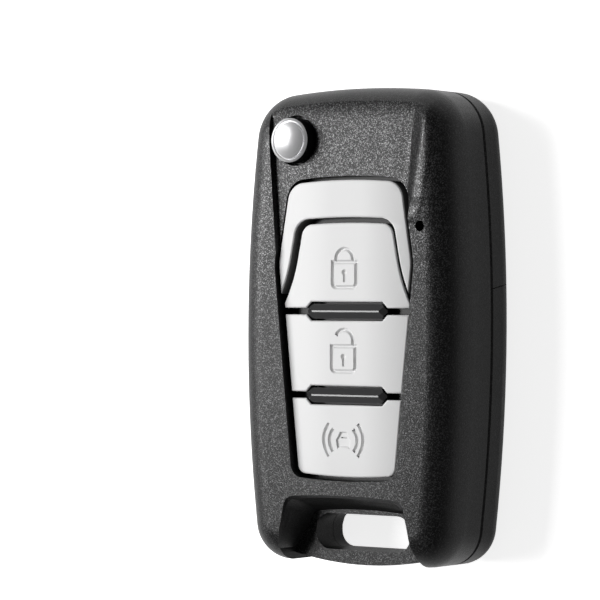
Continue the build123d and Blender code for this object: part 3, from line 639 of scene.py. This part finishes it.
# Its upright walls are near black: painted shade of the hole round the button's skirt
CHROME = ToppedFinish("chrome_plate", (0.82, 0.82, 0.83), (0.88, 0.88, 0.89),
                      roughness=0.30, roughness_far=0.38, metallic=0.6, grain_mm=1.6, bump=0.3, depth_mm=0.06,
                      forms=(CAP_DOME,), wall_and_painted_light_color=(0.01, 0.01, 0.01))
TURNED = Finish("turned_steel", (0.50, 0.50, 0.50), (0.62, 0.62, 0.62),
                roughness=0.25, roughness_far=0.38, metallic=1.0)
SCREW = Finish("screw_zinc", (0.36, 0.36, 0.37), (0.46, 0.46, 0.47),
               roughness=0.28, roughness_far=0.42, metallic=1.0)
ALLOY = Finish("hub_casting", (0.42, 0.42, 0.43), (0.54, 0.54, 0.55),
               roughness=0.35, roughness_far=0.5, metallic=1.0, grain_mm=0.2, bump=0.25)
BLADE = Finish("blade_nickel", (0.58, 0.57, 0.54), (0.68, 0.67, 0.64),
               roughness=0.30, roughness_far=0.42, metallic=0.9, grain_mm=0.12)
SPRING = Finish("spring_steel", (0.30, 0.30, 0.32), (0.40, 0.40, 0.42),
                roughness=0.3, roughness_far=0.4, metallic=1.0)

NODE_FINISH = {
    "front_housing": CASE_FRONT, "rear_housing": CASE, "battery_cover": CASE,
    "keypad_bezel": PIANO, "keypad_membrane": RUBBER, "board_frame": INNER, "transponder_holder": INNER,
    "release_stem": TURNED, "stem_screw": SCREW, "blade_hub": ALLOY, "key_blade": BLADE,
    "blade_roll_pin": SPRING, "torsion_spring": SPRING, "pivot_washer": TURNED, "case_screws": SCREW}


@dataclass(frozen=True)
class FinishRack:
    """Builds every finish once and puts them on pieces."""

    groups: SharedGroups = field(default_factory=SharedGroups)
    materials: dict[str, Material] = field(default_factory=dict)

    def dress(self, piece: bpy.types.Object, finish: Finish) -> None:
        """Give a piece its finish, which is built when it is first used.

        Args:
            piece: The mesh object.
            finish: The finish to put on it.
        """
        if finish.name not in self.materials:
            self.materials[finish.name] = finish.material(self.groups)
        piece.data.materials.clear()
        piece.data.materials.append(self.materials[finish.name])
        LOG.info("%s is finished in %s", piece.name, finish.name)


def arc(center: Point, radius: float, start: float, end: float, count: int) -> np.ndarray:
    """Points of an arc: the centre plus the radius times the cosine and sine of evenly spaced angles.

    Args:
        center: The arc's centre in mm.
        radius: Its radius in mm.
        start: First angle in degrees.
        end: Last angle in degrees.
        count: How many points.

    Returns:
        The points, one row each.
    """
    turn = np.radians(np.linspace(start, end, count))
    return np.stack((center[0] + radius * np.cos(turn), center[1] + radius * np.sin(turn)), axis=1)


def ring(center: Point, radius: float, count: int) -> np.ndarray:
    """Points of a full circle, as an arc that ends one step before its start."""
    return arc(center, radius, 0.0, 360.0 - 360.0 / count, count)


def through(a: Point, b: Point, c: Point, count: int) -> np.ndarray:
    """Points of the parabola that passes a, b and c: the Lagrange sum of the three at even steps.

    Args:
        a: First point in mm.
        b: Middle point in mm.
        c: Last point in mm.
        count: How many points.

    Returns:
        The points, one row each.
    """
    step = np.linspace(0.0, 1.0, count)[:, None]
    first, middle, last = (np.array(point)[None, :] for point in (a, b, c))
    return first * (1 - step) * (1 - 2 * step) + middle * 4 * step * (1 - step) + last * step * (2 * step - 1)


def mitred_normals(path: np.ndarray, closed: bool) -> np.ndarray:
    """Right-hand normals of a path, lengthened at its corners so that offset edges stay parallel.

    Each is the sum of the unit directions before and after the point, turned a quarter and divided by
    its own part along the direction after it. An open path takes its end directions at its ends.

    Args:
        path: The path's points, one row each.
        closed: Whether the last point joins the first.

    Returns:
        The normals, one row each.
    """
    ahead = np.roll(path, -1, axis=0) - path
    behind = path - np.roll(path, 1, axis=0)
    if not closed:
        ahead[-1] = behind[-1]
        behind[0] = ahead[0]
    ahead /= np.linalg.norm(ahead, axis=1)[:, None]
    along = ahead + behind / np.linalg.norm(behind, axis=1)[:, None]
    along /= np.sum(along * ahead, axis=1)[:, None]
    return np.stack((along[:, 1], -along[:, 0]), axis=1)


@dataclass(frozen=True)
class Groove:
    """One engraved line: its middle line and the slanting walls either side of it."""

    path: np.ndarray
    closed: bool = False
    width_mm: float = 0.7
    floor_mm: float = 0.1
    depth_mm: float = 0.34
    rise_mm: float = 0.1

    def cutter(self, height: np.ndarray) -> tuple[np.ndarray, list[list[int]]]:
        """Solid to cut out: a trapezium carried along the path.

        Each ring is the path point moved along the path's mitred normal by plus and minus the half width
        at that depth, where the half width grows evenly from the floor to the surface and on above it.

        Args:
            height: Height of the surface in mm at each path point.

        Returns:
            The vertices in mm and the faces.
        """
        slope = (self.width_mm - self.floor_mm) / 2 / self.depth_mm
        low, high = -self.depth_mm, self.rise_mm
        reach = np.array([self.floor_mm / 2, self.floor_mm / 2 + slope * (high - low)])
        offsets = np.array([-reach[0], reach[0], reach[1], -reach[1]])
        levels = np.array([low, low, high, high])
        side = mitred_normals(self.path, self.closed)
        flat = self.path[:, None, :] + side[:, None, :] * offsets[None, :, None]
        upright = height[:, None] + levels[None, :]
        points = np.concatenate((flat, upright[:, :, None]), axis=2).reshape(-1, 3)
        count = len(self.path)
        rings = np.arange(count if self.closed else count - 1)[:, None]
        corner = np.arange(4)[None, :]
        following = (rings + 1) % count
        quads = np.stack((rings * 4 + corner, rings * 4 + (corner + 1) % 4,
                          following * 4 + (corner + 1) % 4, following * 4 + corner), axis=2).reshape(-1, 4)
        if not self.closed:
            ends = np.array([[3, 2, 1, 0], [4 * count - 4, 4 * count - 3, 4 * count - 2, 4 * count - 1]])
            quads = np.concatenate((quads, ends))
        return points, quads.tolist()


@dataclass(frozen=True)
class Pocket:
    """A sunk area with slanting walls, its outline running anticlockwise at the surface."""

    path: np.ndarray
    slant_mm: float
    depth_mm: float
    rise_mm: float = 0.1

    def cutter(self, height: np.ndarray) -> tuple[np.ndarray, list[list[int]]]:
        """Solid to cut out: the outline drawn in at the floor and let out above the surface.

        Args:
            height: Height of the surface in mm at each outline point.

        Returns:
            The vertices in mm and the faces.
        """
        side = mitred_normals(self.path, True)
        low = self.path - side * self.slant_mm
        high = self.path + side * self.slant_mm * self.rise_mm / self.depth_mm
        rings = [np.column_stack((low, height - self.depth_mm)),
                 np.column_stack((high, height + self.rise_mm))]
        count = len(self.path)
        step = np.arange(count)
        after = (step + 1) % count
        sides = np.stack((step, after, after + count, step + count), axis=1).tolist()
        return np.concatenate(rings), [*sides, step[::-1].tolist(), (step + count).tolist()]


def closed_solid(name: str, points: np.ndarray, faces: list[list[int]]) -> bpy.types.Object:
    """Make an object of a closed mesh in mm, with every face turned outward.

    Args:
        name: The object's name.
        points: Its vertices in mm.
        faces: Its faces.

    Returns:
        The new object.
    """
    mesh = bpy.data.meshes.new(name)
    mesh.from_pydata(points, [], faces)
    shape = bmesh.new()
    shape.from_mesh(mesh)
    bmesh.ops.recalc_face_normals(shape, faces=shape.faces)
    shape.to_mesh(mesh)
    shape.free()
    solid = bpy.data.objects.new(name, mesh)
    bpy.context.scene.collection.objects.link(solid)
    return solid


@dataclass(frozen=True)
class Engraver:
    """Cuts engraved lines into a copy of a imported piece."""

    crest_z_mm: float = 16.4
    crown_y_mm: float = 1.6
    crown_radius_mm: float = 2000.0
    sharp_degrees: float = 28.0
    weld_digits: int = 4

    def surface(self, path: np.ndarray) -> np.ndarray:
        """Height of the keys' crowned tops: the crest less the square of the distance over the diameter."""
        return self.crest_z_mm - (path[:, 1] - self.crown_y_mm) ** 2 / (2 * self.crown_radius_mm)

    def solid_copy(self, node: str) -> bpy.types.Object:
        """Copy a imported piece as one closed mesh, its equal corners joined.

        Args:
            node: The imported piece's name.

        Returns:
            The new object in mm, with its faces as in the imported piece.
        """
        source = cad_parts[node].data
        corners = np.empty(len(source.vertices) * 3)
        source.vertices.foreach_get("co", corners)
        source.calc_loop_triangles()
        triangles = np.empty(len(source.loop_triangles) * 3, dtype=np.int64)
        source.loop_triangles.foreach_get("vertices", triangles)
        rounded = np.round(corners.reshape(-1, 3) / MM, self.weld_digits)
        points, index = np.unique(rounded, axis=0, return_inverse=True)
        faces = index.reshape(-1)[triangles].reshape(-1, 3)
        whole = (faces[:, 0] != faces[:, 1]) & (faces[:, 1] != faces[:, 2]) & (faces[:, 2] != faces[:, 0])
        return closed_solid(f"{node}_engraved", points, faces[whole].tolist())

    def engrave(self, node: str, grooves: list[Groove | Pocket],
                level_mm: float | None = None) -> bpy.types.Object:
        """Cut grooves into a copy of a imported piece.

        Args:
            node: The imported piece's name.
            grooves: The lines to cut.
            level_mm: Height of the surface, or None on the crowned tops of the keys.

        Returns:
            The engraved piece in metres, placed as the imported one.
        """
        piece = self.solid_copy(node)
        cutters = []
        for number, groove in enumerate(grooves):
            height = self.surface(groove.path) if level_mm is None else np.full(len(groove.path), level_mm)
            points, quads = groove.cutter(height)
            cutter = closed_solid(f"{node}_groove_{number}", points, quads)
            cutters.append(cutter)
            cut = piece.modifiers.new(f"groove_{number}", "BOOLEAN")
            cut.operation = "DIFFERENCE"
            cut.solver = "EXACT"
            cut.object = cutter
        bpy.context.view_layer.update()
        shaped = bpy.data.meshes.new_from_object(piece.evaluated_get(bpy.context.evaluated_depsgraph_get()))
        piece.modifiers.clear()
        plain = piece.data
        piece.data = shaped
        bpy.data.meshes.remove(plain)
        for cutter in cutters:
            mesh = cutter.data
            bpy.data.objects.remove(cutter)
            bpy.data.meshes.remove(mesh)
        shaped.transform(Matrix.Scale(MM, 4))
        self.smooth(piece)
        LOG.info("%s: %d grooves, %d faces", piece.name, len(grooves), len(shaped.polygons))
        return piece

    def smooth(self, piece: bpy.types.Object) -> None:
        """Shade a piece smoothly, with its edges kept crisp.

        Args:
            piece: The piece to shade.
        """
        piece.data.shade_smooth()
        piece.data.set_sharp_from_angle(angle=math.radians(self.sharp_degrees))
        steady = piece.modifiers.new("steady_normals", "WEIGHTED_NORMAL")
        steady.keep_sharp = True


@dataclass(frozen=True)
class Padlock:
    """A padlock symbol: a round-footed body, a shackle over it and a keyhole in it."""

    middle_x_mm: float
    body_y_mm: tuple[float, float]
    keyhole_y_mm: float
    bow_mm: Point
    bow_radius_mm: float
    bow_degrees: float
    bow_points: int
    leg_top_mm: float
    leg_foot_mm: float = 0.05
    body_half_mm: float = 2.2
    body_round_mm: float = 0.7
    body_round_points: int = 9
    hole_radius_mm: float = 0.52
    hole_points: int = 16
    slit_from_mm: float = 0.1
    slit_to_mm: float = 1.5

    @property
    def closed(self) -> bool:
        """Whether the shackle's bow comes down to a second leg."""
        return self.bow_degrees == 180.0

    def body(self) -> np.ndarray:
        """Closed outline of the body: square top corners and round lower ones.

        Returns:
            The outline's points, its middle line at 0.
        """
        low, high = self.body_y_mm
        half, rounding = self.body_half_mm, self.body_round_mm
        return np.concatenate((
            np.array([[half, high], [-half, high]]),
            arc((rounding - half, low + rounding), rounding, 180, 270, self.body_round_points),
            arc((half - rounding, low + rounding), rounding, 270, 360, self.body_round_points)))

    def shackle(self) -> np.ndarray:
        """Middle line of the shackle: a leg, the bow, and the other leg where the padlock is closed.

        Returns:
            The line's points, its middle line at 0.
        """
        side = self.bow_mm[0] + self.bow_radius_mm
        leg = np.array([[side, self.body_y_mm[1] + self.leg_foot_mm], [side, self.leg_top_mm]])
        bow = arc(self.bow_mm, self.bow_radius_mm, 0, self.bow_degrees, self.bow_points)
        other = [leg[::-1] * [-1.0, 1.0]] if self.closed else []
        return np.concatenate((leg, bow, *other))

    def grooves(self) -> list[Groove | Pocket]:
        """Grooves of the whole symbol; the keyhole is a round head over a narrow slit.

        Returns:
            The grooves of the body, the shackle and the keyhole.
        """
        shift = np.array([self.middle_x_mm, 0.0])
        head = ring((0.0, self.keyhole_y_mm), self.hole_radius_mm, self.hole_points)
        fall = np.linspace(self.slit_from_mm, self.slit_to_mm, 3)
        slit = np.column_stack((np.zeros(3), self.keyhole_y_mm - fall))
        return [Groove(self.body() + shift, closed=True), Groove(self.shackle() + shift),
                Pocket(head + shift, slant_mm=0.36, depth_mm=0.3),
                Groove(slit + shift, width_mm=0.5, depth_mm=0.26)]


@dataclass(frozen=True)
class SoundingCar:
    """A small car front between two pairs of sound arcs."""

    middle_x_mm: float = -0.5
    outer_arc_mm: tuple[Point, Point, Point] = ((2.7, -14.95), (3.69, -17.4), (2.7, -20.0))
    inner_arc_mm: tuple[Point, Point, Point] = ((1.85, -15.8), (2.6, -17.4), (1.95, -19.25))
    arc_points: int = 17
    left_front_mm: tuple[Point, ...] = ((-0.62, -16.15), (-1.0, -16.9), (-1.38, -17.4), (-1.3, -18.2),
                                        (-1.1, -18.85), (-0.55, -18.62))
    screen_mm: tuple[Point, ...] = ((-0.5, -17.1), (0.0, -17.1), (0.55, -17.1))
    mirrored: Point = (-1.0, 1.0)

    def grooves(self) -> list[Groove | Pocket]:
        """Grooves of the whole symbol.

        Returns:
            The four sound arcs, the car's sunk front and its windscreen's lower edge.
        """
        shift = np.array([self.middle_x_mm, 0.0])
        waves = []
        for points in (self.outer_arc_mm, self.inner_arc_mm):
            wave = through(*points, self.arc_points)
            waves += [Groove(path + shift, width_mm=0.6) for path in (wave, wave * self.mirrored)]
        half = np.array(self.left_front_mm)
        # The outline starts at the roof's right corner
        front = np.roll(np.concatenate((half, half[::-1] * self.mirrored)), 1, axis=0)
        return [*waves, Pocket(front + shift, slant_mm=0.22, depth_mm=0.26),
                Groove(np.array(self.screen_mm) + shift, width_mm=0.34, depth_mm=0.44)]


@dataclass(frozen=True)
class Keypad:
    """The three keycaps with their engraved symbols, the lower two a little further left."""

    lock: Padlock = Padlock(
        middle_x_mm=-0.4, body_y_mm=(6.1, 10.0), keyhole_y_mm=8.4, bow_mm=(0.0, 10.45), bow_radius_mm=1.57,
        bow_degrees=180.0, bow_points=17, leg_top_mm=10.25)
    unlock: Padlock = Padlock(
        middle_x_mm=-0.5, body_y_mm=(-6.9, -3.0), keyhole_y_mm=-4.6, bow_mm=(0.1, -2.1), bow_radius_mm=1.65,
        bow_degrees=152.0, bow_points=15, leg_top_mm=-2.5)
    alarm: SoundingCar = SoundingCar()

    def build(self, rack: FinishRack) -> None:
        """Engrave and dress the keycaps, each riding on its own key's body.

        Args:
            rack: The finishes.
        """
        for key, symbol in {"lock": self.lock, "unlock": self.unlock, "alarm": self.alarm}.items():
            cap = Engraver().engrave(f"{key}_button", symbol.grooves())
            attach(cap, f"{key}_key")
            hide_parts(f"{key}_button")
            rack.dress(cap, SILVER)


@dataclass(frozen=True)
class Arch:
    """The silver arch, standing a little proud of the key inside it."""

    above_mm: float = 15.5
    rise_mm: float = 0.4
    left_mm: float = 0.3

    def build(self, rack: FinishRack) -> None:
        """Lift the top of a copy of the arch and dress it.

        Args:
            rack: The finishes.
        """
        engraver = Engraver()
        arch = engraver.solid_copy("arch_trim")
        places = np.empty(len(arch.data.vertices) * 3)
        arch.data.vertices.foreach_get("co", places)
        places = places.reshape(-1, 3)
        top = places[:, 2] > self.above_mm
        places[:, 2] += self.rise_mm * top
        places[:, 0] -= self.left_mm * top
        arch.data.vertices.foreach_set("co", places.reshape(-1))
        arch.data.transform(Matrix.Scale(MM, 4))
        engraver.smooth(arch)
        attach(arch, "case")
        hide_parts("arch_trim")
        rack.dress(arch, ARCH_SILVER)


@dataclass(frozen=True)
class ReleaseCap:
    """The chrome button, with the fine groove that sets its rim off from its dome."""

    pivot_mm: Point = (-9.8, 29.0)
    rim_below_top_mm: float = 0.42
    groove_radius_mm: float = 2.95
    groove_points: int = 48
    groove_width_mm: float = 0.34
    groove_floor_mm: float = 0.2
    groove_depth_mm: float = 0.2
    groove_rise_mm: float = 0.5

    def build(self, rack: FinishRack) -> None:
        """Cut the rim groove and dress the cap.

        Args:
            rack: The finishes.
        """
        low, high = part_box("release_button")
        rim = high[2] / MM - self.rim_below_top_mm
        groove = Groove(ring(self.pivot_mm, self.groove_radius_mm, self.groove_points), True,
                        self.groove_width_mm, self.groove_floor_mm, self.groove_depth_mm, self.groove_rise_mm)
        cap = Engraver().engrave("release_button", [groove], rim)
        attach(cap, "release_unit")
        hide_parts("release_button")
        rack.dress(cap, CHROME)
        LOG.info("chrome button from %.4f to %.4f m", low[2], high[2])


@dataclass(frozen=True)
class Studio:
    """White floor, dim sky, one soft lamp and the camera at the photograph's angle."""

    camera_at_mm: tuple[float, float, float] = (262.785, 3.058, 397.084)
    camera_right: tuple[float, float, float] = (0.814112, 0.004915, -0.580687)
    camera_up: tuple[float, float, float] = (-0.002672, 0.999985, 0.004718)
    camera_back: tuple[float, float, float] = (0.580701, -0.002289, 0.814113)
    lens_mm: float = 180.0
    sensor_mm: float = 36.0
    near_m: float = 0.01
    floor_side_m: float = 6.0
    floor_gap_mm: float = 0.04
    floor_color: Color = (0.9, 0.9, 0.9)
    floor_roughness: float = 0.9
    floor_specular: float = 0.1
    floor_lift: float = 0.8
    mirrored_lift: float = 0.45
    sky_light: float = 0.08
    horizon_light: float = 0.65
    horizon: Span = Span(0.08, 0.4)
    lamp_at_m: tuple[float, float, float] = (-0.85, 0.12, 0.85)
    lamp_size_m: tuple[float, float] = (0.62, 0.8)
    lamp_watts: float = 16.4

    def camera(self) -> None:
        """Place the camera by its measured axes."""
        data = bpy.data.cameras.new("camera")
        data.lens = self.lens_mm
        data.sensor_width = self.sensor_mm
        data.clip_start = self.near_m
        camera = bpy.data.objects.new("camera", data)
        bpy.context.scene.collection.objects.link(camera)
        turn = Matrix((self.camera_right, self.camera_up, self.camera_back)).transposed().to_4x4()
        camera.matrix_world = Matrix.Translation(Vector(self.camera_at_mm) * MM) @ turn
        bpy.context.scene.camera = camera

    def paper(self) -> Material:
        """White paper that is paler where seen, less so where mirrored, and clear from below.

        Returns:
            The floor's material.
        """
        material = bpy.data.materials.new("floor_paper")
        material.use_nodes = True
        nodes = Nodes(material.node_tree)
        nodes.feed(nodes.shader["Base Color"], self.floor_color)
        nodes.feed(nodes.shader["Roughness"], self.floor_roughness)
        nodes.feed(nodes.shader["Specular IOR Level"], self.floor_specular)
        nodes.feed(nodes.shader["Emission Color"], WHITE)
        glossy = nodes.add("LightPath").outputs["Is Glossy Ray"]
        seen = nodes.math(Op.MAXIMUM, nodes.eye(), nodes.math(Op.MULTIPLY, glossy, self.mirrored_lift))
        nodes.link(nodes.math(Op.MULTIPLY, seen, self.floor_lift), nodes.shader["Emission Strength"])
        under = nodes.add("NewGeometry").outputs["Backfacing"]
        nodes.link(nodes.math(Op.SUBTRACT, 1.0, under), nodes.shader["Alpha"])
        return material

    def floor(self) -> None:
        """Lay a white floor that shows the object's shadow."""
        half = self.floor_side_m / 2
        low = -self.floor_gap_mm * MM
        mesh = bpy.data.meshes.new("floor")
        mesh.from_pydata([(-half, -half, low), (half, -half, low), (half, half, low), (-half, half, low)], [],
                         [(0, 1, 2, 3)])
        floor = bpy.data.objects.new("floor", mesh)
        bpy.context.scene.collection.objects.link(floor)
        mesh.materials.append(self.paper())

    def world(self) -> None:
        """Dim sky over a paler horizon, white where the camera sees it.

        The light passes evenly from the horizon's to the sky's while a direction's upward part, taken
        without its sign, passes over the span of the horizon.
        """
        world = bpy.data.worlds.new("studio")
        bpy.context.scene.world = world
        world.use_nodes = True
        nodes = Nodes(world.node_tree)
        steepness = nodes.math(Op.ABSOLUTE, nodes.axes(Coordinates.DIRECTION)["Z"])
        light = nodes.between(nodes.ramp(steepness, self.horizon), self.horizon_light, self.sky_light)
        back = world.node_tree.nodes["Background"].inputs
        nodes.feed(back["Color"], WHITE)
        nodes.link(nodes.between(nodes.eye(), light, 1.0), back["Strength"])

    def lamp(self) -> None:
        """Hang the soft rectangular lamp so that it faces the origin."""
        data = bpy.data.lights.new("key_lamp", "AREA")
        data.shape = "RECTANGLE"
        data.size, data.size_y = self.lamp_size_m
        data.energy = self.lamp_watts
        lamp = bpy.data.objects.new("key_lamp", data)
        bpy.context.scene.collection.objects.link(lamp)
        turn = Vector(self.lamp_at_m).to_track_quat("Z", "Y").to_matrix().to_4x4()
        lamp.matrix_world = Matrix.Translation(self.lamp_at_m) @ turn

    def build(self) -> None:
        """Set up the whole studio."""
        bpy.context.scene.view_settings.view_transform = "Standard"
        self.camera()
        self.floor()
        self.world()
        self.lamp()


def main() -> None:
    """Engrave the keys, dress every piece and set up the studio."""
    logging.basicConfig(level=logging.INFO)
    rack = FinishRack()
    for node, finish in NODE_FINISH.items():
        rack.dress(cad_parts[node], finish)
    Arch().build(rack)
    Keypad().build(rack)
    ReleaseCap().build(rack)
    Studio().build()


if __name__ == "__main__":
    main()
